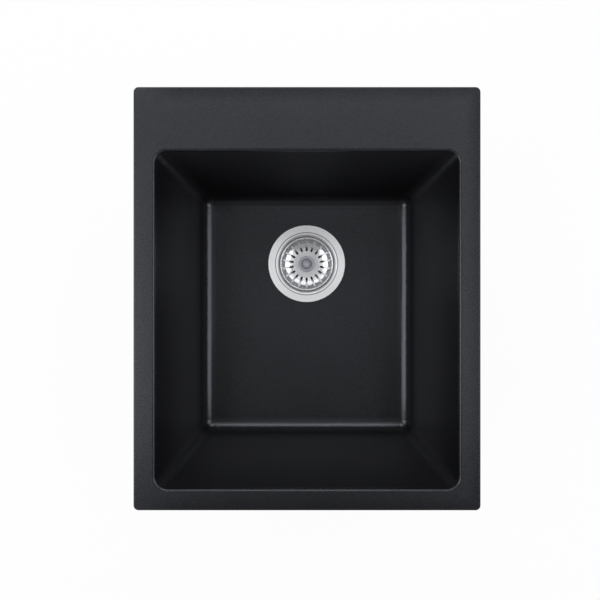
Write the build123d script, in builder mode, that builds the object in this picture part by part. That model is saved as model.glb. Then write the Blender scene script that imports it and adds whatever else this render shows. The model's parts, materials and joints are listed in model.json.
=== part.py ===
from build123d import *
import os
from math import cos, radians, sin, tan

# Single-bowl quartz composite kitchen sink that drops into a worktop cut-out.
# Millimetres. X points right, Y to the back where the tap deck is, Z up.
# The origin is in the middle of the rim, on the worktop surface that the rim's seal rests on.

# Rim and tap deck
rim_width = 410
rim_length = 500
rim_thickness = 8
rim_corner_radius = 6
rim_edge_radius = 2
rim_overlap = 10
side_rim = 25
front_rim = 25
tap_deck = 75
seal_thickness = 2
seal_inset = 2
seal_corner_radius = 5

# Bowl
bowl_depth = 190
wall_draft = 8.5
wall_thickness = 9
floor_thickness = 12
bowl_corner_radius = 15
floor_edge_radius = 14
lip_radius = 3
floor_fall = 2
fall_inset = 11
fall_corner_radius = 6
dish_margin = 2.5
dish_corner_radius = 48

# Drain opening in the floor
drain_offset = 74
recess_depth = 3
drain_boss_margin = 4.5
drain_boss_height = 6

# Tap deck underside
tap_blank_radius = 17.5
tap_blank_skin = 3
tap_blank_draft = 12
deck_rib_thickness = 6
deck_rib_depth = 42
deck_rib_toe = 10
deck_rib_spacing = 76
deck_rib_count = 4
deck_rib_margin = 8

# Pressed stainless waste flange, heights measured down from its top face
sheet = 1
flange_radius = 57
flange_gasket_thickness = 1.5
flange_roll_radius = 4
flange_line_setback = 4.9
flange_line_width = 0.8
flange_line_depth = 0.3
cup_radius = 41.5
cup_straight = 24.5
cone_radius = 26.4
cone_depth = 29.2
ledge_radius = 26
ledge_depth = 34
well_radius = 21
well_draft = 1
press_radius = 1.6
window_count = 4
window_radius = 13
window_width = 8
window_bar = 6
window_corner_radius = 1.5

# Strainer basket, heights measured down from the flange's top face
basket_sheet = 0.8
basket_rim_drop = 7
basket_rim_width = 2.7
basket_hem = 2.5
basket_hem_radius = 1.1
basket_wall_lean = 2.8
basket_shoulder_bend = 5
basket_base_radius = 19.5
basket_base_drop = 27.2
basket_base_rise = 3.6
basket_base_bend = 30
slot_count = 18
slot_width = 3
slot_setback = 0.5
slot_overrun = 1

# Lift knob, post and stopper of the basket
post_radius = 2.5
knob_radius = 12
knob_cap_height = 4
knob_cap_edge_radius = 1.8
knob_height = 19
knob_neck_radius = 5
knob_neck_bend = 3
knob_foot_radius = 8
knob_foot_height = 2
knob_nub_radius = 6
knob_nub_height = 3
knob_groove_width = 2.4
knob_groove_depth = 0.8
post_grip = 12
stopper_thickness = 2.2
stopper_lip_setback = 1.2
stopper_lip_thickness = 1.6
stopper_clearance = 0.3
basket_washer_radius = 13
basket_washer_thickness = 1
basket_nut_flats = 8
basket_nut_height = 3.5
post_end = 0.8
post_screw_gap = 2.1

# Waste body under the bowl, heights measured down from the body gasket's underside
body_gasket_thickness = 3
body_flange_overlap = 2
body_flange_thickness = 4
body_edge_radius = 1
body_wall = 3
body_straight = 13
funnel_depth = 44
collar_overlap = 3.1
collar_thickness = 3
outlet_radius = 23.9
outlet_bore_radius = 20
outlet_length = 34
body_fin_count = 8
body_fin_thickness = 2.5
body_fin_depth = 16
hub_radius = 9
hub_top = 31
hub_height = 15
web_count = 4
web_thickness = 3

# Centre screw that pulls the flange and the waste body together
waste_screw_radius = 3
waste_screw_head_radius = 6
waste_screw_head_height = 3.4
waste_screw_slot_width = 1.4
waste_screw_slot_depth = 1.5
waste_screw_end = 3
waste_washer_radius = 8
waste_washer_thickness = 1
waste_nut_flats = 10
waste_nut_height = 5

# Worktop clamps
worktop_most = 40
worktop_slack = 0.5
cutout_clearance = 0.5
clamp_spacing = 240
clamp_lift = 12
clamp_boss_width = 18
clamp_boss_depth = 26
clamp_boss_corner_radius = 4
insert_radius = 3.5
insert_length = 22
clamp_screw_radius = 2.5
clamp_screw_length = 35
clamp_head_radius = 4.5
clamp_head_height = 3.5
clamp_head_flats = 4
clamp_head_socket = 2.2
clamp_washer_thickness = 1
arm_reach = 30
arm_thickness = 2.5
tooth_height = 3
tooth_gap = 2.2

# Clearances
running_clearance = 0.1
push_clearance = 0.05
tip_clearance = 1
arm_wall_clearance = 0.7
recess_clearance = 1.5
drain_hole_clearance = 2.5
gasket_setback = 2
basket_clearance = 1.2

# Widths worked out from the sizes above
bowl_width = rim_width - 2 * side_rim
bowl_length = rim_length - front_rim - tap_deck
cutout_half_width = rim_width / 2 - rim_overlap
deck_back = rim_length / 2 - rim_overlap
recess_radius = flange_radius + recess_clearance
drain_hole_radius = cup_radius + sheet + drain_hole_clearance
drain_boss_radius = recess_radius + drain_boss_margin
dish_size = 2 * (recess_radius + dish_margin)
body_flange_radius = flange_radius + body_flange_overlap
collar_radius = outlet_radius + collar_overlap
basket_rim_radius = cup_radius - basket_clearance
basket_mouth_radius = basket_rim_radius - basket_rim_width
basket_shoulder_radius = basket_mouth_radius - basket_wall_lean
basket_slope_radius = (basket_base_radius + basket_shoulder_radius) / 2
slot_inner_radius = basket_base_radius + slot_setback
slot_outer_radius = basket_shoulder_radius + slot_overrun
stopper_lip_radius = ledge_radius - stopper_lip_setback

# Levels and places worked out from the sizes above
rim_top = seal_thickness + rim_thickness
bowl_y = front_rim + bowl_length / 2 - rim_length / 2
floor_level = rim_top - bowl_depth
drain_level = floor_level - floor_fall
drain_y = bowl_y + drain_offset
flange_seat = drain_level - recess_depth
flange_top = flange_seat + flange_gasket_thickness + sheet
bowl_bottom = floor_level - floor_thickness
boss_bottom = bowl_bottom - drain_boss_height
body_top = boss_bottom - body_gasket_thickness
draft_slope = tan(radians(wall_draft))

# Drops of the basket's sloped ring, of its underside and of the well below, from the flange's top face
basket_shoulder_drop = basket_base_drop - basket_base_rise
basket_slope_drop = basket_base_drop - basket_base_rise / 4
stopper_drop = basket_base_drop + basket_sheet
basket_washer_drop = stopper_drop + stopper_thickness
basket_nut_drop = basket_washer_drop + basket_washer_thickness
post_drop = basket_nut_drop + basket_nut_height + post_end
well_depth = post_drop + post_screw_gap + waste_screw_head_height + waste_washer_thickness

drain_axis = Axis((0, drain_y, 0), (0, 0, 1))
flange_section = Plane(origin=(0, drain_y, flange_top), x_dir=(1, 0, 0), z_dir=(0, -1, 0))
body_section = Plane(origin=(0, drain_y, body_top), x_dir=(1, 0, 0), z_dir=(0, -1, 0))


def drain_plane(height):
    return Plane(origin=(0, drain_y, height))


os.makedirs("parts", exist_ok=True)


def save(builder, name):
    builder.part.label = name
    export_step(builder.part, f"parts/{name}.step")


# Space inside the bowl: drafted walls, rounded corners and floor edge, floor falling to the drain
with BuildPart() as bowl_space:
    with BuildSketch(Plane.XY.offset(rim_top)):
        with Locations((0, bowl_y)):
            Rectangle(bowl_width, bowl_length)
    extrude(amount=-bowl_depth, taper=wall_draft)
    slanted = bowl_space.edges().filter_by(lambda e: abs(e.tangent_at(0.5).Z) > 0.5)
    fillet(slanted, radius=bowl_corner_radius)
    fillet(bowl_space.faces().sort_by(Axis.Z)[0].edges(), radius=floor_edge_radius)
    floor_face = bowl_space.faces().sort_by(Axis.Z)[0].bounding_box().size
    with BuildSketch(Plane.XY.offset(floor_level)):
        with Locations((0, bowl_y)):
            RectangleRounded(floor_face.X - fall_inset, floor_face.Y - fall_inset, fall_corner_radius)
    with BuildSketch(drain_plane(drain_level)):
        RectangleRounded(dish_size, dish_size, dish_corner_radius)
    loft(ruled=True)

# Outside of the bowl, one wall thickness larger all round
with BuildPart() as bowl_outside:
    with BuildSketch(Plane.XY.offset(rim_top)):
        with Locations((0, bowl_y)):
            Rectangle(bowl_width + 2 * wall_thickness, bowl_length + 2 * wall_thickness)
    extrude(amount=bowl_bottom - rim_top, taper=wall_draft)
    slanted = bowl_outside.edges().filter_by(lambda e: abs(e.tangent_at(0.5).Z) > 0.5)
    fillet(slanted, radius=bowl_corner_radius + wall_thickness)
    fillet(bowl_outside.faces().sort_by(Axis.Z)[0].edges(), radius=floor_edge_radius + wall_thickness)

# Clamp places: the screws stand in bosses beside the bowl's side walls, inside the worktop cut-out.
# Each arm is as wide as the space between the cut-out and the wall where the arm is drawn up highest.
boss_outer_x = cutout_half_width - cutout_clearance
boss_bottom_z = seal_thickness - clamp_boss_depth
arm_top = -worktop_most - worktop_slack - tooth_height
arm_bottom = arm_top - arm_thickness
wall_outer_x = bowl_width / 2 + wall_thickness - (rim_top - arm_top - clamp_lift) * draft_slope
arm_width = boss_outer_x - wall_outer_x - arm_wall_clearance
clamp_x = boss_outer_x - arm_width / 2
screw_shoulder = arm_bottom - clamp_washer_thickness
screw_tip = screw_shoulder + clamp_screw_length
clamps = {
    "front_left": (-1, bowl_y - clamp_spacing / 2),
    "front_right": (1, bowl_y - clamp_spacing / 2),
    "back_left": (-1, bowl_y + clamp_spacing / 2),
    "back_right": (1, bowl_y + clamp_spacing / 2),
}
clamp_points = [(side * clamp_x, y) for side, y in clamps.values()]
boss_inner_x = bowl_width / 2
boss_points = [(side * (boss_inner_x + boss_outer_x) / 2, y) for side, y in clamps.values()]

# Moulded sink: rim slab, bowl shell, deck ribs, clamp bosses and drain opening in one piece
with BuildPart() as sink_bowl:
    with BuildSketch(Plane.XY.offset(seal_thickness)):
        RectangleRounded(rim_width, rim_length, rim_corner_radius)
    extrude(amount=rim_thickness)
    fillet(sink_bowl.faces().sort_by(Axis.Z)[-1].edges(), radius=rim_edge_radius)
    add(bowl_outside.part)
    with BuildSketch(drain_plane(bowl_bottom)):
        Circle(drain_boss_radius)
    extrude(amount=-drain_boss_height, taper=wall_draft)
    # stiffening ribs under the tap deck, from the bowl's back wall to just short of the cut-out
    rib_toe_y = deck_back - deck_rib_margin
    rib_root_y = bowl_y + bowl_length / 2 + wall_thickness / 2
    for i in range(deck_rib_count):
        rib_x = (i - (deck_rib_count - 1) / 2) * deck_rib_spacing
        with BuildSketch(Plane.YZ.offset(rib_x)):
            with BuildLine():
                Polyline(
                    (rib_root_y - (rim_top - seal_thickness) * draft_slope, seal_thickness),
                    (rib_toe_y, seal_thickness),
                    (rib_toe_y, seal_thickness - deck_rib_toe),
                    (rib_root_y - (rim_top + deck_rib_depth) * draft_slope, -deck_rib_depth),
                    close=True,
                )
            make_face()
        extrude(amount=deck_rib_thickness / 2, both=True)
    with BuildSketch(Plane.XY.offset(seal_thickness)):
        with Locations(*boss_points):
            RectangleRounded(boss_outer_x - boss_inner_x, clamp_boss_width, clamp_boss_corner_radius)
    extrude(amount=-clamp_boss_depth)
    add(bowl_space.part, mode=Mode.SUBTRACT)
    lip_edges = sink_bowl.faces().sort_by(Axis.Z)[-1].inner_wires()[0].edges()
    fillet(lip_edges, radius=lip_radius)
    with BuildSketch(drain_plane(flange_seat)):
        Circle(recess_radius)
    extrude(amount=recess_depth, mode=Mode.SUBTRACT)
    with BuildSketch(drain_plane(boss_bottom)):
        Circle(drain_hole_radius)
    extrude(amount=flange_seat - boss_bottom, mode=Mode.SUBTRACT)
    # drafted blank for a tap hole, sunk in the deck's underside
    with BuildSketch(Plane.XY.offset(seal_thickness)):
        with Locations((0, (bowl_y + bowl_length / 2 + rim_length / 2) / 2)):
            Circle(tap_blank_radius)
    extrude(amount=rim_thickness - tap_blank_skin, taper=tap_blank_draft, mode=Mode.SUBTRACT)
    with BuildSketch(Plane.XY.offset(boss_bottom_z)):
        with Locations(*clamp_points):
            Circle(insert_radius)
    extrude(amount=screw_tip + clamp_lift + tip_clearance - boss_bottom_z, mode=Mode.SUBTRACT)
save(sink_bowl, "sink_bowl")

# Foam seal under the rim, from just inside the rim's edge to the cut-out
with BuildPart() as rim_seal:
    with BuildSketch():
        RectangleRounded(rim_width - 2 * seal_inset, rim_length - 2 * seal_inset, seal_corner_radius)
        RectangleRounded(2 * cutout_half_width, 2 * deck_back, seal_corner_radius, mode=Mode.SUBTRACT)
    extrude(amount=seal_thickness)
save(rim_seal, "rim_seal")

# Waste flange: wide brushed ring rolled over into a cup with a cone, a seat ledge and a windowed well
with BuildPart() as waste_flange:
    with BuildSketch(flange_section):
        with BuildLine():
            FilletPolyline(
                (flange_radius, 0),
                (cup_radius, 0),
                (cup_radius, -cup_straight),
                (cone_radius, -cone_depth),
                (ledge_radius, -ledge_depth),
                (well_radius, -ledge_depth),
                (well_radius - well_draft, -well_depth),
                (waste_screw_radius + running_clearance, -well_depth),
                radius=[flange_roll_radius, flange_roll_radius] + [press_radius] * 4,
            )
            offset(amount=sheet, side=Side.LEFT)
        make_face()
    revolve(axis=drain_axis)
    # fine turned line round the ring, just outside the roll
    with BuildSketch(flange_section):
        with BuildLine():
            Polyline(
                (cup_radius + flange_line_setback - flange_line_width / 2, 0),
                (cup_radius + flange_line_setback, -flange_line_depth),
                (cup_radius + flange_line_setback + flange_line_width / 2, 0),
                close=True,
            )
        make_face()
    revolve(axis=drain_axis, mode=Mode.SUBTRACT)
    # windows in the floor of the well, with bars between them
    with BuildSketch(drain_plane(flange_top - well_depth - sheet)) as windows:
        Circle(window_radius + window_width / 2)
        Circle(window_radius - window_width / 2, mode=Mode.SUBTRACT)
        with PolarLocations(window_radius, window_count, start_angle=180 / window_count):
            Rectangle(2 * window_width, window_bar, mode=Mode.SUBTRACT)
        fillet(windows.vertices(), radius=window_corner_radius)
    extrude(amount=sheet, mode=Mode.SUBTRACT)
save(waste_flange, "waste_flange")

# Rubber gasket between the flange and its recess
with BuildPart() as flange_gasket:
    with BuildSketch(drain_plane(flange_seat)):
        Circle(flange_radius)
        Circle(drain_hole_radius + gasket_setback, mode=Mode.SUBTRACT)
    extrude(amount=flange_gasket_thickness)
save(flange_gasket, "flange_gasket")

# Rubber gasket between the bowl's underside and the waste body
with BuildPart() as body_gasket:
    with BuildSketch(drain_plane(body_top)):
        Circle(body_flange_radius)
        Circle(drain_hole_radius, mode=Mode.SUBTRACT)
    extrude(amount=body_gasket_thickness)
save(body_gasket, "body_gasket")

# Waterway of the waste body, with its hub and webs left standing in it
funnel_end = body_straight + funnel_depth
outlet_end = funnel_end + outlet_length
with BuildPart() as waterway:
    with BuildSketch(body_section):
        with BuildLine():
            Polyline(
                (0, 0),
                (drain_hole_radius, 0),
                (drain_hole_radius, -body_straight),
                (outlet_bore_radius, -funnel_end),
                (outlet_bore_radius, -outlet_end),
                (0, -outlet_end),
                close=True,
            )
        make_face()
    revolve(axis=drain_axis)
    with BuildSketch(drain_plane(body_top - hub_top)):
        Circle(hub_radius)
        with PolarLocations(drain_hole_radius / 2, web_count, start_angle=180 / web_count):
            Rectangle(drain_hole_radius, web_thickness)
    extrude(amount=-hub_height, mode=Mode.SUBTRACT)

# Moulded waste body: clamping flange, finned funnel, collar and outlet tube
with BuildPart() as waste_body:
    with BuildSketch(body_section):
        with BuildLine():
            Polyline(
                (0, 0),
                (body_flange_radius, 0),
                (body_flange_radius, -body_flange_thickness),
                (drain_hole_radius + body_wall, -body_flange_thickness),
                (drain_hole_radius + body_wall, -body_straight),
                (collar_radius, -funnel_end),
                (collar_radius, -funnel_end - collar_thickness),
                (outlet_radius, -funnel_end - collar_thickness),
                (outlet_radius, -outlet_end),
                (0, -outlet_end),
                close=True,
            )
        make_face()
    revolve(axis=drain_axis)
    for radius in (body_flange_radius, collar_radius):
        rings = waste_body.edges().filter_by(GeomType.CIRCLE)
        lower_ring = rings.filter_by(lambda e: abs(e.radius - radius) < push_clearance).sort_by(Axis.Z)[0]
        fillet(lower_ring, radius=body_edge_radius)
    for i in range(body_fin_count):
        turn = radians((i + 0.5) * 360 / body_fin_count)
        fin_plane = Plane(
            origin=(0, drain_y, body_top),
            x_dir=(cos(turn), sin(turn), 0),
            z_dir=(sin(turn), -cos(turn), 0),
        )
        with BuildSketch(fin_plane):
            with BuildLine():
                Polyline(
                    (drain_hole_radius, -body_flange_thickness),
                    (body_flange_radius - body_wall, -body_flange_thickness),
                    (drain_hole_radius, -body_flange_thickness - body_fin_depth),
                    close=True,
                )
            make_face()
        extrude(amount=body_fin_thickness / 2, both=True)
    add(waterway.part, mode=Mode.SUBTRACT)
    with BuildSketch(drain_plane(body_top - hub_top)):
        Circle(waste_screw_radius + running_clearance)
    extrude(amount=-hub_height, mode=Mode.SUBTRACT)
    with BuildSketch(drain_plane(body_top - hub_top - hub_height)):
        RegularPolygon(waste_nut_flats / 2, 6, major_radius=False)
    extrude(amount=waste_nut_height, mode=Mode.SUBTRACT)
    outlet_rims = waste_body.faces().sort_by(Axis.Z)[0].edges()
    chamfer(outlet_rims, length=body_wall / 4)
save(waste_body, "waste_body")

# Brass nut held in the hub's hexagon pocket
nut_bottom = body_top - hub_top - hub_height
with BuildPart() as waste_nut:
    with BuildSketch(drain_plane(nut_bottom)):
        RegularPolygon(waste_nut_flats / 2, 6, major_radius=False)
        Circle(waste_screw_radius, mode=Mode.SUBTRACT)
    extrude(amount=waste_nut_height)
save(waste_nut, "waste_nut")

# Washer under the centre screw's head, on the floor of the well
well_floor = flange_top - well_depth
with BuildPart() as screw_washer:
    with BuildSketch(drain_plane(well_floor)):
        Circle(waste_washer_radius)
        Circle(waste_screw_radius + running_clearance, mode=Mode.SUBTRACT)
    extrude(amount=waste_washer_thickness)
save(screw_washer, "screw_washer")

# Centre screw with a slotted pan head
screw_seat = well_floor + waste_washer_thickness
with BuildPart() as waste_screw:
    with BuildSketch(drain_plane(screw_seat)):
        Circle(waste_screw_head_radius)
    extrude(amount=waste_screw_head_height)
    fillet(waste_screw.faces().sort_by(Axis.Z)[-1].edges(), radius=waste_screw_head_height / 3)
    with BuildSketch(drain_plane(screw_seat + waste_screw_head_height)):
        Rectangle(2 * waste_screw_head_radius, waste_screw_slot_width)
    extrude(amount=-waste_screw_slot_depth, mode=Mode.SUBTRACT)
    with BuildSketch(drain_plane(nut_bottom - waste_screw_end)):
        Circle(waste_screw_radius)
    extrude(amount=screw_seat - nut_bottom + waste_screw_end)
    chamfer(waste_screw.faces().sort_by(Axis.Z)[0].edges(), length=waste_screw_radius / 5)
save(waste_screw, "waste_screw")

# Strainer basket: pressed cup with a hemmed rim and slots from the base up to the shoulder
with BuildPart() as strainer_basket:
    with BuildSketch(flange_section):
        with BuildLine():
            FilletPolyline(
                (basket_rim_radius, -basket_rim_drop - basket_hem),
                (basket_rim_radius, -basket_rim_drop),
                (basket_mouth_radius, -basket_rim_drop),
                (basket_shoulder_radius, -basket_shoulder_drop),
                (basket_slope_radius, -basket_slope_drop),
                (basket_base_radius, -basket_base_drop),
                (post_radius + push_clearance, -basket_base_drop),
                radius=[basket_hem_radius] * 2 + [basket_shoulder_bend] + [basket_base_bend] * 2,
            )
            offset(amount=basket_sheet, side=Side.LEFT)
        make_face()
    revolve(axis=drain_axis)
    slot_middle = (slot_inner_radius + slot_outer_radius) / 2
    with BuildSketch(drain_plane(flange_top - basket_base_drop - basket_sheet)):
        with PolarLocations(slot_middle, slot_count, start_angle=-90):
            SlotOverall(slot_outer_radius - slot_inner_radius, slot_width)
    extrude(amount=basket_base_drop, mode=Mode.SUBTRACT)
save(strainer_basket, "strainer_basket")

# Mushroom lift knob with a ring groove round a domed nub, and a blind hole for the post
knob_foot = -basket_base_drop
cap_top = knob_foot + knob_height - knob_nub_height
cap_bottom = cap_top - knob_cap_height
nub_dome_radius = (knob_nub_radius**2 + knob_nub_height**2) / (2 * knob_nub_height)
with BuildPart() as basket_knob:
    with BuildSketch(flange_section):
        with BuildLine():
            RadiusArc((0, cap_top + knob_nub_height), (knob_nub_radius, cap_top), nub_dome_radius)
            Polyline(
                (knob_nub_radius, cap_top),
                (knob_nub_radius, cap_top - knob_groove_depth),
                (knob_nub_radius + knob_groove_width, cap_top - knob_groove_depth),
                (knob_nub_radius + knob_groove_width, cap_top),
            )
            FilletPolyline(
                (knob_nub_radius + knob_groove_width, cap_top),
                (knob_radius, cap_top),
                (knob_radius, cap_bottom),
                (knob_neck_radius, cap_bottom),
                (knob_neck_radius, knob_foot + knob_foot_height),
                (knob_foot_radius, knob_foot),
                radius=[knob_cap_edge_radius] * 2 + [knob_neck_bend] * 2,
            )
            Polyline((knob_foot_radius, knob_foot), (0, knob_foot), (0, cap_top + knob_nub_height))
        make_face()
    revolve(axis=drain_axis)
    with BuildSketch(drain_plane(flange_top + knob_foot)):
        Circle(post_radius + push_clearance)
    extrude(amount=post_grip, mode=Mode.SUBTRACT)
save(basket_knob, "basket_knob")

# Rubber stopper: a disc under the basket's base with a lip that reaches down to the ledge
lip_bottom = -ledge_depth + stopper_clearance
with BuildPart() as basket_seal:
    with BuildSketch(flange_section):
        with BuildLine():
            Polyline(
                (post_radius + push_clearance, -stopper_drop),
                (basket_base_radius - stopper_lip_thickness, -stopper_drop),
                (stopper_lip_radius, lip_bottom + stopper_lip_thickness),
                (stopper_lip_radius, lip_bottom),
                (stopper_lip_radius - stopper_lip_thickness, lip_bottom),
                (basket_base_radius - 2 * stopper_lip_thickness, -basket_washer_drop),
                (post_radius + push_clearance, -basket_washer_drop),
                close=True,
            )
        make_face()
    revolve(axis=drain_axis)
save(basket_seal, "basket_seal")

# Washer and nut that hold the stopper up against the base
with BuildPart() as basket_washer:
    with BuildSketch(drain_plane(flange_top - basket_washer_drop)):
        Circle(basket_washer_radius)
        Circle(post_radius + push_clearance, mode=Mode.SUBTRACT)
    extrude(amount=-basket_washer_thickness)
save(basket_washer, "basket_washer")

with BuildPart() as basket_nut:
    with BuildSketch(drain_plane(flange_top - basket_nut_drop)):
        RegularPolygon(basket_nut_flats / 2, 6, major_radius=False)
        Circle(post_radius + push_clearance, mode=Mode.SUBTRACT)
    extrude(amount=-basket_nut_height)
save(basket_nut, "basket_nut")

# Post from the knob down through base, stopper, washer and nut
with BuildPart() as basket_post:
    with BuildSketch(drain_plane(flange_top - post_drop)):
        Circle(post_radius)
    extrude(amount=post_drop - basket_base_drop + post_grip)
    chamfer(basket_post.faces().sort_by(Axis.Z)[0].edges(), length=post_end / 2)
save(basket_post, "basket_post")

# Brass threaded bushes in the clamp bosses
with BuildPart() as clamp_inserts:
    with BuildSketch(Plane.XY.offset(boss_bottom_z)):
        with Locations(*clamp_points):
            Circle(insert_radius)
            Circle(clamp_screw_radius + running_clearance, mode=Mode.SUBTRACT)
    extrude(amount=insert_length)
save(clamp_inserts, "clamp_inserts")

# Worktop clamps: screw, washer and swing arm at each corner, arms stowed along the bowl's side
for corner, (side, clamp_y) in clamps.items():
    axis_x = side * clamp_x

    with BuildPart() as clamp_screw:
        with BuildSketch(Plane(origin=(axis_x, clamp_y, screw_shoulder))):
            Circle(clamp_screw_radius)
        extrude(amount=clamp_screw_length)
        chamfer(clamp_screw.faces().sort_by(Axis.Z)[-1].edges(), length=clamp_screw_radius / 5)
        with BuildSketch(Plane(origin=(axis_x, clamp_y, screw_shoulder))):
            Circle(clamp_head_radius)
        extrude(amount=-clamp_head_height)
        fillet(clamp_screw.faces().sort_by(Axis.Z)[0].edges(), radius=clamp_head_height / 4)
        with BuildSketch(Plane(origin=(axis_x, clamp_y, screw_shoulder - clamp_head_height))):
            RegularPolygon(clamp_head_flats / 2, 6, major_radius=False)
        extrude(amount=clamp_head_socket, mode=Mode.SUBTRACT)
    save(clamp_screw, f"clamp_screw_{corner}")

    with BuildPart() as clamp_washer:
        with BuildSketch(Plane(origin=(axis_x, clamp_y, screw_shoulder))):
            Circle(arm_width / 2)
            Circle(clamp_screw_radius + running_clearance, mode=Mode.SUBTRACT)
        extrude(amount=clamp_washer_thickness)
    save(clamp_washer, f"clamp_washer_{corner}")

    # flat arm with a round eye at the screw and an upturned, notched tip at the free end
    with BuildPart() as clamp_arm:
        with BuildSketch(Plane(origin=(axis_x, clamp_y, arm_bottom))):
            Circle(arm_width / 2)
            with Locations((0, arm_reach / 2)):
                Rectangle(arm_width, arm_reach)
        extrude(amount=arm_thickness)
        with BuildSketch(Plane(origin=(axis_x, clamp_y, arm_top))):
            with Locations((0, arm_reach - arm_thickness / 2)):
                Rectangle(arm_width, arm_thickness)
                with GridLocations(arm_width / 2, 0, 2, 1):
                    Rectangle(tooth_gap, arm_thickness, mode=Mode.SUBTRACT)
        extrude(amount=tooth_height)
        bend = clamp_arm.edges().filter_by(Axis.X).group_by(Axis.Y)[-1].sort_by(Axis.Z)[0]
        fillet(bend, radius=arm_thickness * 0.8)
        with BuildSketch(Plane(origin=(axis_x, clamp_y, arm_bottom))):
            Circle(clamp_screw_radius + running_clearance)
        extrude(amount=arm_thickness, mode=Mode.SUBTRACT)
    save(clamp_arm, f"clamp_arm_{corner}")
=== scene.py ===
import json
from math import cos, floor, pi, radians, sin, tan

import bpy
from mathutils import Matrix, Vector


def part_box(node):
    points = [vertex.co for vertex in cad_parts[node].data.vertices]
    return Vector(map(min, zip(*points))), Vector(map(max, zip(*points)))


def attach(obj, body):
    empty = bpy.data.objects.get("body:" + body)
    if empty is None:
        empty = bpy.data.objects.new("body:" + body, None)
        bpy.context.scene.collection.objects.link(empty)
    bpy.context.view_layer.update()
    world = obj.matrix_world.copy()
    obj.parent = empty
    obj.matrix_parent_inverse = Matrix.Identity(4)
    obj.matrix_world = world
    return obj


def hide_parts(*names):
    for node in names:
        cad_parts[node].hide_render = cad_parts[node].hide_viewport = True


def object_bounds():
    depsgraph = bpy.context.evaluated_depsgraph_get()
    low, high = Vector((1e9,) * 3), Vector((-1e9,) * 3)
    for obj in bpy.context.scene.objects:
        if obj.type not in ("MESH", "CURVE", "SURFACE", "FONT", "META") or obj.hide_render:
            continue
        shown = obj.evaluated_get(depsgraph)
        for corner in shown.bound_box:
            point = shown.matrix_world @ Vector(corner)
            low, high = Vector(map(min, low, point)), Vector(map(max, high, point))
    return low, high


# Single-bowl quartz composite sink seen from straight above. Metres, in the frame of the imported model.
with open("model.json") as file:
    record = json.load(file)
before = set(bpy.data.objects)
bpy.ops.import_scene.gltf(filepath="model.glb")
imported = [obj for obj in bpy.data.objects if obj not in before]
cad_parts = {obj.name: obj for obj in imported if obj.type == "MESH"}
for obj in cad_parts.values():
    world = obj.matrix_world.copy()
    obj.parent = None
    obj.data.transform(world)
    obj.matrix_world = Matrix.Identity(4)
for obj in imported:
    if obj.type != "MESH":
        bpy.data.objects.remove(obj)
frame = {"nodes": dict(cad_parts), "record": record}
cad_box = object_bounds()
nodes = frame["nodes"]

mm = 0.001

# Places read from the frame
rim_low, rim_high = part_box("sink_bowl")
flange_low, flange_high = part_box("waste_flange")
drain = (flange_low + flange_high) / 2
flange_top = flange_high.z
rim_half_width = (rim_high.x - rim_low.x) / 2
rim_half_length = (rim_high.y - rim_low.y) / 2
rim_top = rim_high.z
ground = cad_box[0].z

# Sizes of the moulding that the finishes follow
side_rim = 25 * mm
front_rim = 25 * mm
tap_deck = 75 * mm
wall_slope = tan(radians(8.5))
wall_thickness = 9 * mm
bowl_half_width = rim_half_width - side_rim
bowl_half_length = rim_half_length - (front_rim + tap_deck) / 2
bowl_y = (front_rim - tap_deck) / 2


# Node trees

class Value:
    """A socket of a node tree. A sum written with it adds the Math nodes."""

    def __init__(self, tree, socket):
        self.tree = tree
        self.socket = socket

    def math(self, operation, first, second=0.0):
        return self.tree.node("ShaderNodeMath", {"operation": operation}, {0: first, 1: second})

    def __add__(self, other):
        return self.math("ADD", self, other)

    def __radd__(self, other):
        return self.math("ADD", other, self)

    def __sub__(self, other):
        return self.math("SUBTRACT", self, other)

    def __rsub__(self, other):
        return self.math("SUBTRACT", other, self)

    def __mul__(self, other):
        return self.math("MULTIPLY", self, other)

    def __rmul__(self, other):
        return self.math("MULTIPLY", other, self)

    def __truediv__(self, other):
        return self.math("DIVIDE", self, other)

    def __pow__(self, other):
        return self.math("POWER", self, other)

    def __abs__(self):
        return self.math("ABSOLUTE", self)

    def most(self, other, blend):
        """The larger of two, rounded over where they are closer than blend."""
        return self.tree.node("ShaderNodeMath", {"operation": "SMOOTH_MAX"}, {0: self, 1: other, 2: blend})

    def ramp(self, low, high):
        """0 below low, 1 above high, smooth between."""
        settings = {"interpolation_type": "SMOOTHSTEP"}
        sockets = {"Value": self, "From Min": low, "From Max": high}
        return self.tree.node("ShaderNodeMapRange", settings, sockets)


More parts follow.
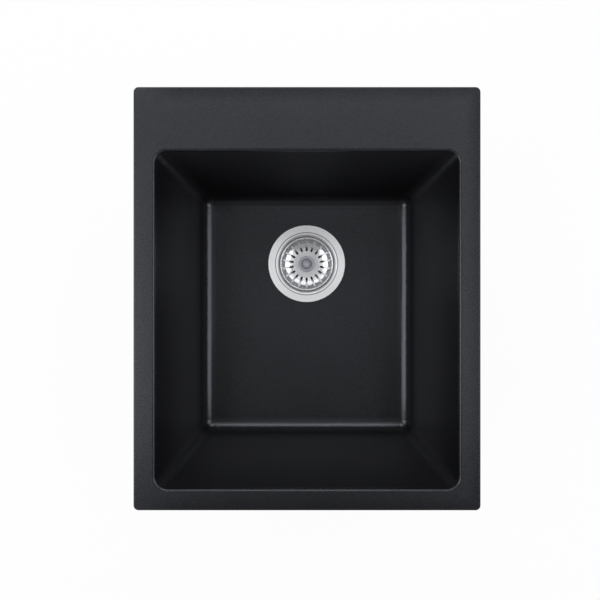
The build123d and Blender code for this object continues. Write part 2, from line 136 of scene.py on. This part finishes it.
class Tree:
    """The nodes of a material or of the world."""

    def __init__(self, node_tree):
        self.nodes = node_tree.nodes
        self.links = node_tree.links
        self.nodes.clear()

    def node(self, kind, settings=None, sockets=None, out=0):
        """A new node with its settings and its sockets' numbers or links, as the value of one output."""
        made = self.nodes.new(kind)
        for name, setting in (settings or {}).items():
            setattr(made, name, setting)
        for name, value in (sockets or {}).items():
            if isinstance(value, Value):
                self.links.new(value.socket, made.inputs[name])
            else:
                made.inputs[name].default_value = value
        return Value(self, made.outputs[out]) if made.outputs else None

    def place(self):
        """Where a point of the surface is, in the frame's metres."""
        return self.node("ShaderNodeTexCoord", out="Object")

    def split(self, vector):
        """The three numbers of a vector or a colour."""
        made = self.node("ShaderNodeSeparateXYZ", None, {0: vector}).socket.node
        return [Value(self, socket) for socket in made.outputs]

    def join(self, x, y, z):
        return self.node("ShaderNodeCombineXYZ", None, {0: x, 1: y, 2: z})

    def noise(self, vector, size, detail=2.0, roughness=0.5):
        """Soft noise from 0 to 1 whose patches are about size metres across."""
        sockets = {"Vector": vector, "Scale": 1 / size, "Detail": detail, "Roughness": roughness}
        return self.node("ShaderNodeTexNoise", None, sockets)

    def grains(self, vector, size):
        """One random value from 0 to 1 in each grain of about size metres."""
        colour = self.node("ShaderNodeTexVoronoi", None, {"Vector": vector, "Scale": 1 / size}, "Color")
        return self.split(colour)[0]

    def blend(self, factor, first, second):
        """A colour that goes from the first to the second as factor goes from 0 to 1."""
        settings = {"data_type": "RGBA"}
        return self.node("ShaderNodeMix", settings, {0: factor, 6: (*first, 1), 7: (*second, 1)}, 2)

    def relief(self, height, depth):
        """Normals of a surface that is raised by height times depth, in metres."""
        return self.node("ShaderNodeBump", None, {"Height": height, "Distance": depth, "Strength": 1.0})


def finish(name, build, **constants):
    """A material whose Principled shader takes what build returns and the constants.

    Where build returns a share named matte, that share of the surface has no gloss.
    """
    material = bpy.data.materials.new(name)
    material.use_nodes = True
    tree = Tree(material.node_tree)
    varying = build(tree)
    matte = varying.pop("matte", None)
    sockets = {key.replace("_", " "): value for key, value in constants.items()} | varying
    surface = tree.node("ShaderNodeBsdfPrincipled", None, sockets)
    if matte:
        dull = tree.node("ShaderNodeBsdfPrincipled", None, {**sockets, "Specular IOR Level": 0.0})
        surface = tree.node("ShaderNodeMixShader", None, {0: matte, 1: surface, 2: dull})
    tree.node("ShaderNodeOutputMaterial", None, {"Surface": surface})
    return material


# Finishes

def quartz(tree):
    """Black quartz sand in resin, paler and rougher on the hidden side, where it left the mould.

    The walls are dull under the opening and carry painted light and shade: paler lower down and at
    the top of the end walls, darker at the top of the side walls. The floor's edge is rubbed
    smooth, and the rim's outer edge is worn dull.
    """
    place = tree.place()
    x, y, z = tree.split(place)
    drop = rim_top - z

    # Regions, by how far a point lies outside the bowl's drafted walls or the rim
    corner_blend = 8 * mm
    beside = abs(x) - bowl_half_width + drop * wall_slope
    behind = abs(y - bowl_y) - bowl_half_length + drop * wall_slope
    from_wall = beside.most(behind, corner_blend)
    hidden = from_wall.ramp(0.35 * wall_thickness, 0.6 * wall_thickness) * drop.ramp(7.0 * mm, 8.5 * mm)
    wall = from_wall.ramp(-4 * mm, -0.5 * mm) * drop.ramp(1 * mm, 8 * mm)
    end_wall = (behind - beside).ramp(-5 * mm, 5 * mm)
    back_wall = end_wall * (y - bowl_y).ramp(0.0, 50 * mm)
    deep = drop.ramp(0.0, 150 * mm)
    low_wall = deep * (1 - drop.ramp(145 * mm, 178 * mm)) * (1 - back_wall)
    near_opening = 1 - drop.ramp(0.0, 110 * mm) * (1 - back_wall)
    cove = from_wall.ramp(-18 * mm, -3 * mm)
    floor_edge = from_wall.ramp(-20 * mm, -12 * mm) * (1 - from_wall.ramp(-6 * mm, -1 * mm))
    outside = (abs(x) - rim_half_width).most(abs(y) - rim_half_length, corner_blend)
    worn_edge = outside.ramp(-22 * mm, 0.0) * (x + rim_half_width).ramp(0.0, 60 * mm)

    # Sand, from single grains to soft clouds
    sand = tree.grains(place, 0.9 * mm)
    grit = tree.noise(place, 1.6 * mm, 4.0, 0.6)
    mottle = tree.noise(place, 4 * mm, 2.0)
    cloud = tree.noise(place, 45 * mm, 3.0)
    grain = 0.25 * sand + 0.3 * grit + 0.25 * mottle + 0.2 * cloud

    # Colour, gloss and relief
    sand_depth = 0.03 * mm
    cove_rise = 1.38 * mm
    # Painted light and shade on the walls: paler lower down and at the top of the end walls, darker at the
    # top of the side walls
    bloom_and_painted_light = wall * (0.45 * low_wall + 0.12 * end_wall * (1 - deep) + 0.1 * back_wall - 0.06)
    face = tree.blend(0.5 * grain + bloom_and_painted_light, (0.0005, 0.0005, 0.0008), (0.0275, 0.0278, 0.031))
    back = tree.blend(grain, (0.016, 0.016, 0.017), (0.030, 0.030, 0.031))
    colour = tree.node("ShaderNodeMix", {"data_type": "RGBA"}, {0: hidden, 6: face, 7: back}, 2)
    wall_rough = wall * (0.13 + 0.17 * (deep + back_wall * (1 - deep)))
    rough = 0.20 + 0.10 * grit + 0.02 * mottle + 0.04 * cloud + wall_rough + 0.2 * hidden - 0.05 * floor_edge
    matte = 0.55 * wall * near_opening + 0.4 * worn_edge
    normal = tree.relief(0.6 * grit + 0.4 * sand + cove_rise / sand_depth * cove, sand_depth)
    return {"Base Color": colour, "Roughness": rough, "Normal": normal, "matte": matte}


def about_drain(tree):
    """Radius, turn and height of a point of the surface, about the drain's axis."""
    x, y, z = tree.split(tree.place())
    dx = x - drain.x
    dy = y - drain.y
    turn = tree.node("ShaderNodeMath", {"operation": "ARCTAN2"}, {0: dy, 1: dx})
    return (dx * dx + dy * dy) ** 0.5, turn, z


def turned_rings(tree, spacing):
    """Fine rings about the drain's axis, from 0 to 1, a little uneven round each turn."""
    wander = 0.8
    radius, turn, z = about_drain(tree)
    across = tree.join((radius - z) / spacing, wander * turn, 0.0)
    return tree.noise(across, 1.0, 3.0, 0.65)


def brushed_steel(tree):
    """Stainless steel brushed in rings round the drain, with painted shade in the line pressed round it."""
    pressed_line = 46.4 * mm
    radius = about_drain(tree)[0]
    rings = turned_rings(tree, 0.35 * mm)
    smear = tree.noise(tree.place(), 14 * mm, 2.0)
    # Painted shade: the colour darkens in the pressed line, where the groove's shade falls
    away_from_painted_shade = abs(radius - pressed_line).ramp(0.3 * mm, 0.9 * mm)
    tone = 0.76 + 0.2 * rings + 0.06 * smear
    colour = tree.blend(tone * away_from_painted_shade, (0.28, 0.28, 0.29), (0.97, 0.97, 0.98))
    rough = 0.38 + 0.14 * rings + 0.05 * smear
    return {"Base Color": colour, "Roughness": rough, "Normal": tree.relief(rings, 0.012 * mm)}


def pressed_steel(tree):
    """Brighter stainless sheet of the basket, with the faint rings of its spinning and a satin base."""
    radius = about_drain(tree)[0]
    rings = turned_rings(tree, 0.5 * mm)
    smear = tree.noise(tree.place(), 9 * mm, 2.0)
    base = 1 - radius.ramp(17 * mm, 24 * mm)
    colour = tree.blend(0.5 * rings + 0.5 * smear, (0.84, 0.84, 0.86), (0.96, 0.96, 0.97))
    rough = 0.17 + 0.07 * rings + 0.04 * smear + 0.27 * base
    normal = tree.relief(rings, 0.003 * mm)
    return {"Base Color": colour, "Metallic": 0.92 - 0.8 * base, "Roughness": rough, "Normal": normal}


def turned_steel(tree):
    """Plain stainless of screw, post, washers and nut, with turning marks."""
    rings = turned_rings(tree, 0.25 * mm)
    colour = tree.blend(rings, (0.50, 0.50, 0.52), (0.66, 0.66, 0.68))
    return {"Base Color": colour, "Roughness": 0.24 + 0.16 * rings, "Normal": tree.relief(rings, 0.01 * mm)}


def zinc_plate(tree):
    """Bright zinc on the clamps, with a bluish bloom and small dull spots."""
    place = tree.place()
    bloom_and_painted_light = tree.noise(place, 6 * mm, 3.0)
    spots = tree.noise(place, 0.8 * mm, 3.0, 0.7)
    colour = tree.blend(bloom_and_painted_light, (0.50, 0.52, 0.56), (0.70, 0.71, 0.70))
    rough = 0.26 + 0.18 * spots
    return {"Base Color": colour, "Roughness": rough, "Normal": tree.relief(spots, 0.01 * mm)}


def brass(tree):
    """Turned brass, slightly tarnished."""
    place = tree.place()
    tarnish = tree.noise(place, 3 * mm, 3.0)
    marks = tree.noise(place, 0.3 * mm, 2.0)
    colour = tree.blend(tarnish, (0.58, 0.42, 0.17), (0.80, 0.63, 0.30))
    return {"Base Color": colour, "Roughness": 0.24 + 0.14 * marks, "Normal": tree.relief(marks, 0.008 * mm)}


def rubber(tree):
    """Black rubber with a dusty bloom."""
    place = tree.place()
    bloom_and_painted_light = tree.noise(place, 5 * mm, 4.0, 0.6)
    grain = tree.noise(place, 0.35 * mm, 2.0)
    colour = tree.blend(bloom_and_painted_light, (0.010, 0.010, 0.011), (0.028, 0.028, 0.029))
    rough = 0.55 + 0.2 * bloom_and_painted_light
    return {"Base Color": colour, "Roughness": rough, "Normal": tree.relief(grain, 0.02 * mm)}


def foam(tree):
    """Closed-cell foam strip with open cut cells."""
    cell = 0.7 * mm
    place = tree.place()
    cells = tree.node("ShaderNodeTexVoronoi", None, {"Vector": place, "Scale": 1 / cell}, "Distance")
    patches = tree.noise(place, 8 * mm, 3.0)
    colour = tree.blend(0.6 * cells + 0.4 * patches, (0.022, 0.022, 0.024), (0.055, 0.055, 0.058))
    return {"Base Color": colour, "Roughness": 0.8 + 0.15 * patches, "Normal": tree.relief(cells, 0.12 * mm)}


def waste_plastic(tree):
    """Pale grey moulded plastic of the waste body, with a fine spark-eroded skin."""
    place = tree.place()
    grain = tree.noise(place, 0.5 * mm, 3.0, 0.6)
    flow = tree.noise(place, 30 * mm, 3.0)
    colour = tree.blend(flow, (0.50, 0.50, 0.49), (0.60, 0.60, 0.585))
    rough = 0.38 + 0.14 * grain
    return {"Base Color": colour, "Roughness": rough, "Normal": tree.relief(grain, 0.02 * mm)}


def knob_plastic(tree):
    """Glossy grey plastic of the lift knob, with painted shade in its groove."""
    groove = 7.2 * mm
    radius = about_drain(tree)[0]
    rings = turned_rings(tree, 0.6 * mm)
    handling = tree.noise(tree.place(), 4 * mm, 3.0)
    # Painted shade: the colour darkens in the groove, where its shade falls
    away_from_painted_shade = abs(radius - groove).ramp(0.6 * mm, 1.8 * mm)
    tone = (0.5 + 0.2 * rings + 0.3 * handling) * away_from_painted_shade
    colour = tree.blend(tone, (0.20, 0.21, 0.24), (0.52, 0.53, 0.58))
    rough = 0.18 + 0.12 * handling
    return {"Base Color": colour, "Roughness": rough, "Normal": tree.relief(rings, 0.008 * mm)}


brushing = {"Metallic": 0.75, "Anisotropic": 0.4, "Anisotropic_Rotation": 0.25}
spinning = {"Anisotropic": 0.75, "Anisotropic_Rotation": 0.25}
finishes = {
    "quartz": finish("quartz_composite", quartz, Specular_Tint=(0.88, 0.91, 1.0, 1), Specular_IOR_Level=0.54),
    "stainless": finish("steel_brushed_in_rings", brushed_steel, **brushing),
    "basket": finish("steel_pressed_sheet", pressed_steel, **spinning),
    "stainless_fixing": finish("steel_turned", turned_steel, Metallic=1.0),
    "zinc_steel": finish("zinc_plated_steel", zinc_plate, Metallic=1.0),
    "brass": finish("turned_brass", brass, Metallic=1.0),
    "black_rubber": finish("black_rubber", rubber),
    "seal_foam": finish("seal_foam", foam),
    "waste_plastic": finish("pale_waste_plastic", waste_plastic),
    "knob_plastic": finish("grey_knob_plastic", knob_plastic, Coat_Weight=0.6, Coat_Roughness=0.08),
}
for part in frame["record"]["subparts"]:
    own = "basket" if part["node"] == "strainer_basket" else part["material_slot"]
    nodes[part["node"]].data.materials[0] = finishes[own]


# Modelled pieces

def skin(name, rings, slot, body, replaced=(), closed=False, crease=35):
    """A solid through rings of points: its ends are capped, or the last ring meets the first."""
    points = [point for row in rings for point in row]
    count = len(rings[0])
    last = len(rings) if closed else len(rings) - 1
    faces = []
    for i in range(last):
        low = i * count
        high = (i + 1) % len(rings) * count
        for k in range(count):
            after = (k + 1) % count
            faces.append((low + k, low + after, high + after, high + k))
    if not closed:
        faces.append(tuple(reversed(range(count))))
        faces.append(tuple(range(len(points) - count, len(points))))
    mesh = bpy.data.meshes.new(name)
    mesh.from_pydata([tuple(point) for point in points], [], faces)
    mesh.validate()
    mesh.shade_smooth()
    mesh.set_sharp_from_angle(angle=radians(crease))
    mesh.materials.append(finishes[slot])
    piece = bpy.data.objects.new(name, mesh)
    bpy.context.scene.collection.objects.link(piece)
    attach(piece, body)
    if replaced:
        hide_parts(*replaced)


def rounded(corners, radius, steps=5):
    """A closed outline of (across, up) corners with each corner turned into an arc."""
    most_of_side = 0.45
    outline = []
    for i, corner in enumerate(corners):
        corner = Vector(corner)
        back = Vector(corners[i - 1]) - corner
        ahead = Vector(corners[(i + 1) % len(corners)]) - corner
        reach = min(radius, most_of_side * back.length, most_of_side * ahead.length)
        start = corner + back.normalized() * reach
        end = corner + ahead.normalized() * reach
        for k in range(steps + 1):
            t = k / steps
            outline.append((1 - t) ** 2 * start + 2 * t * (1 - t) * corner + t**2 * end)
    return outline


def about(axis, turn, radius, height):
    """The point at a turn, a radius and a height about an upright axis."""
    return Vector((axis.x + radius * cos(turn), axis.y + radius * sin(turn), height))


def turns(count):
    """Equal steps round a full turn."""
    return [2 * pi * k / count for k in range(count)]


def ring(axis, radius, height, count):
    """Points round a level circle about an upright axis."""
    return [about(axis, turn, radius, height) for turn in turns(count)]


def lathe(name, corners, radius, slot, body, replaced):
    """A closed outline of (radius, height above the flange) corners, rounded and turned about the drain."""
    count = 128
    rings = [ring(drain, across, flange_top + up, count) for across, up in rounded(corners, radius)]
    skin(name, list(reversed(rings)), slot, body, replaced, closed=True)


def gasket(name, node, hole, bulge, body):
    """A flat rubber ring squeezed between two faces, so that its edge bulges."""
    low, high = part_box(node)
    edge = (high.x - low.x) / 2
    bottom = low.z - flange_top
    top = high.z - flange_top
    middle = (bottom + top) / 2
    rounding = 0.4 * mm
    corners = [
        (hole, bottom), (edge - bulge, bottom), (edge, middle), (edge - bulge, top), (hole, top),
    ]
    lathe(name, corners, rounding, "black_rubber", body, [node])


gasket("flange_sealing_ring", "flange_gasket", hole=47 * mm, bulge=0.6 * mm, body="root")
gasket("waste_sealing_ring", "body_gasket", hole=45 * mm, bulge=0.9 * mm, body="root")


def stopper():
    """Rubber stopper: flat crown under the basket, a thin lip that reaches the ledge, one rib on the lip."""
    low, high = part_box("basket_seal")
    edge = (high.x - low.x) / 2
    crown = high.z - flange_top
    lip = low.z - flange_top
    post_hole = 2.55 * mm
    crown_edge = 17.9 * mm
    inner_edge = 16.3 * mm
    thickness = 2.2 * mm
    rounding = 0.7 * mm
    corners = [
        (post_hole, crown),
        (crown_edge, crown),
        (edge - 3.2 * mm, lip + 3.2 * mm),
        (edge - 2.4 * mm, lip + 3.3 * mm),
        (edge - 1.6 * mm, lip + 2.3 * mm),
        (edge, lip + 1.2 * mm),
        (edge - 0.2 * mm, lip),
        (edge - 1.5 * mm, lip + 0.1 * mm),
        (inner_edge, crown - thickness),
        (post_hole, crown - thickness),
    ]
    lathe("stopper", corners, rounding, "black_rubber", "basket", ["basket_seal"])


stopper()


def rounded_rectangle(half_width, half_length, radius, height, steps=8):
    """Points round a rectangle with round corners, at one height."""
    points = []
    for quarter, (right, back) in enumerate(((1, 1), (-1, 1), (-1, -1), (1, -1))):
        for k in range(steps + 1):
            turn = (quarter + k / steps) * pi / 2
            x = right * (half_width - radius) + radius * cos(turn)
            y = back * (half_length - radius) + radius * sin(turn)
            points.append(Vector((x, y, height)))
    return points


def seal_strip():
    """Foam strip under the rim, squeezed so that both its edges are round."""
    low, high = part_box("rim_seal")
    width = 8 * mm
    inner_corner = 5 * mm
    thickness = high.z - low.z
    corner = inner_corner + width
    outline = rounded([(-width, low.z), (0, low.z), (0, high.z), (-width, high.z)], thickness / 2)
    rings = [
        rounded_rectangle(high.x + out, high.y + out, corner + out, height) for out, height in outline
    ]
    skin("seal_strip", list(reversed(rings)), "seal_foam", "root", ["rim_seal"], closed=True)


seal_strip()


def thread_ring(axis, height, pitch, root, crest, count):
    """One ring of a round-topped thread, whose ridge from root to crest climbs one pitch a turn."""
    fullness = 0.7
    points = []
    for turn in turns(count):
        phase = height / pitch - turn / (2 * pi)
        phase -= floor(phase)
        radius = root + (crest - root) * (0.5 - 0.5 * cos(2 * pi * phase)) ** fullness
        points.append(about(axis, turn, radius, height))
    return points


def hexagon_ring(axis, height, half_width, count):
    """One ring of a hexagon, given half its width across the flats."""
    points = []
    for turn in turns(count):
        radius = half_width / cos((turn + pi / 6) % (pi / 3) - pi / 6)
        points.append(about(axis, turn, radius, height))
    return points


def clamp_bolt(corner):
    """Clamp screw with a hexagon socket in its round head and a thread all along its shank."""
    low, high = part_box(f"clamp_screw_{corner}")
    axis = (low + high) / 2
    head_radius = (high.x - low.x) / 2
    head_edge = 0.9 * mm
    edge_steps = 4
    shoulder = low.z + 3.5 * mm
    socket = 2.0 * mm
    socket_end = low.z + 2.2 * mm
    socket_tip = low.z + 2.6 * mm
    tip_radius = 0.2 * mm
    crest = 2.5 * mm
    root = 2.05 * mm
    end_radius = 0.8 * root
    pitch = 0.8 * mm
    lead = 1.2 * mm
    count = 48
    steps = 6

    def turned(radius, height):
        return ring(axis, radius, height, count)

    rings = [turned(tip_radius, socket_tip)]
    rings += [hexagon_ring(axis, height, socket, count) for height in (socket_end, low.z)]
    for k in range(edge_steps + 1):
        bend = k / edge_steps * pi / 2
        rings.append(turned(head_radius - head_edge * (1 - sin(bend)), low.z + head_edge * (1 - cos(bend))))
    rings += [turned(head_radius, shoulder), turned(root, shoulder)]
    rows = int((high.z - shoulder) / pitch * steps)
    for row in range(1, rows):
        height = shoulder + row * pitch / steps
        share = min(1, (high.z - height) / lead)
        rings.append(thread_ring(axis, height, pitch, root, root + share * (crest - root), count))
    rings.append(turned(end_radius, high.z))
    skin(f"clamp_bolt_{corner}", rings, "zinc_steel", f"screw_{corner}", [f"clamp_screw_{corner}"], crease=50)


for corner in ("front_left", "front_right", "back_left", "back_right"):
    clamp_bolt(corner)


def outlet_thread():
    """Coarse rounded thread moulded round the waste body's outlet."""
    root = 23.9 * mm
    depth = 0.5 * mm
    sunk = 0.6 * mm
    pitch = 2.31 * mm
    bottom = ground + 2.0 * mm
    top = ground + 27.5 * mm
    count = 96
    steps = 8
    rows = int((top - bottom) / pitch * steps)
    rings = []
    for row in range(rows + 1):
        up = bottom + row * pitch / steps
        share = max(0, min(1, (up - bottom) / pitch, (top - up) / pitch))
        rings.append(thread_ring(drain, up, pitch, root, root + share * depth, count))
    rings += [ring(drain, root - sunk, up, count) for up in (top, bottom)]
    skin("outlet_thread", rings, "waste_plastic", "root", closed=True, crease=60)


outlet_thread()


# Studio

def floor_plane():
    """Pale floor that the outlet stands on. It shows white and keeps a soft shadow."""
    reach = 12.0
    white_share = 0.94
    corners = [(right * reach, back * reach, ground) for right, back in ((-1, -1), (1, -1), (1, 1), (-1, 1))]
    mesh = bpy.data.meshes.new("studio_floor")
    mesh.from_pydata(corners, [], [(0, 1, 2, 3)])
    material = bpy.data.materials.new("pale_floor")
    material.use_nodes = True
    tree = Tree(material.node_tree)
    rays = tree.node("ShaderNodeLightPath").socket.node.outputs
    seen = Value(tree, rays["Is Camera Ray"]) + Value(tree, rays["Is Glossy Ray"])
    seen = seen + Value(tree, rays["Is Transmission Ray"])
    paint = tree.node("ShaderNodeBsdfDiffuse", None, {"Color": (0.92, 0.92, 0.92, 1)})
    white = tree.node("ShaderNodeEmission", None, {"Color": (1, 1, 1, 1), "Strength": 1.0})
    surface = tree.node("ShaderNodeMixShader", None, {0: white_share * seen, 1: paint, 2: white})
    tree.node("ShaderNodeOutputMaterial", None, {"Surface": surface})
    mesh.materials.append(material)
    plane = bpy.data.objects.new("studio_floor", mesh)
    bpy.context.scene.collection.objects.link(plane)


def studio_air():
    """A white wall all round, up to a fifth of the way to overhead, and a dim ceiling above it."""
    world = bpy.data.worlds.new("studio_air")
    world.use_nodes = True
    bpy.context.scene.world = world
    tree = Tree(world.node_tree)
    up = tree.split(tree.node("ShaderNodeTexCoord", out="Generated"))[2]
    wall_top, ceiling_edge = 0.22, 0.42
    ceiling = up.ramp(wall_top, ceiling_edge)
    colour = tree.blend(ceiling, (1.0, 1.0, 1.0), (0.25, 0.25, 0.25))
    background = tree.node("ShaderNodeBackground", None, {"Color": colour, "Strength": 1.0})
    tree.node("ShaderNodeOutputWorld", None, {"Surface": background})


def soft_box(name, place, target, size, radiance):
    """A flat rectangular lamp that faces target, as bright as a white card of that radiance."""
    daylight = (0.97, 0.98, 1.0)
    lamp = bpy.data.lights.new(name, "AREA")
    lamp.shape = "RECTANGLE"
    lamp.size, lamp.size_y = size
    lamp.energy = radiance * size[0] * size[1] * pi
    lamp.color = daylight
    holder = bpy.data.objects.new(name, lamp)
    holder.location = place
    aim = Vector(target) - Vector(place)
    holder.rotation_euler = aim.to_track_quat("-Z", "Y").to_euler()
    holder.visible_camera = False
    bpy.context.scene.collection.objects.link(holder)


def photo_camera():
    """Looks straight down from over the bowl, framed as a square picture."""
    photo_width = 600
    nadir_x, nadir_y = 305.4, 288.6
    pixel = 1.1787 * mm
    camera_x, camera_y = -1.9 * mm, 11.9 * mm
    height = 730 * mm
    lens = bpy.data.cameras.new("photo_camera")
    lens.sensor_width = 36.0
    lens.lens = lens.sensor_width * height / (photo_width * pixel)
    lens.shift_x = (photo_width / 2 - nadir_x) / photo_width
    lens.shift_y = (nadir_y - photo_width / 2) / photo_width
    camera = bpy.data.objects.new("photo_camera", lens)
    camera.location = (camera_x, camera_y, rim_top + height)
    bpy.context.scene.collection.objects.link(camera)
    bpy.context.scene.camera = camera


floor_plane()
studio_air()
bowl_middle = (0.0, -0.025, -0.05)
soft_box("left_box", (-1.0, -0.10, 1.065), bowl_middle, (1.0, 0.975), 3.25)
soft_box("right_box", (1.0, -0.07, 1.065), bowl_middle, (1.0, 0.975), 2.6)
soft_box("back_box", (0.0, 1.0, 1.045), bowl_middle, (1.1, 0.64), 2.8)
soft_box("back_left_box", (-0.74, 0.71, 1.02), bowl_middle, (0.5, 0.42), 1.7)
soft_box("back_right_box", (0.74, 0.71, 1.02), bowl_middle, (0.5, 0.42), 1.7)
soft_box("deck_box", (0.0, 0.47, 1.36), bowl_middle, (1.1, 0.16), 1.1)
soft_box("top_box", (0.03, -0.03, 1.45), bowl_middle, (0.32, 0.6), 0.42)
photo_camera()
bpy.context.scene.view_settings.view_transform = "Standard"
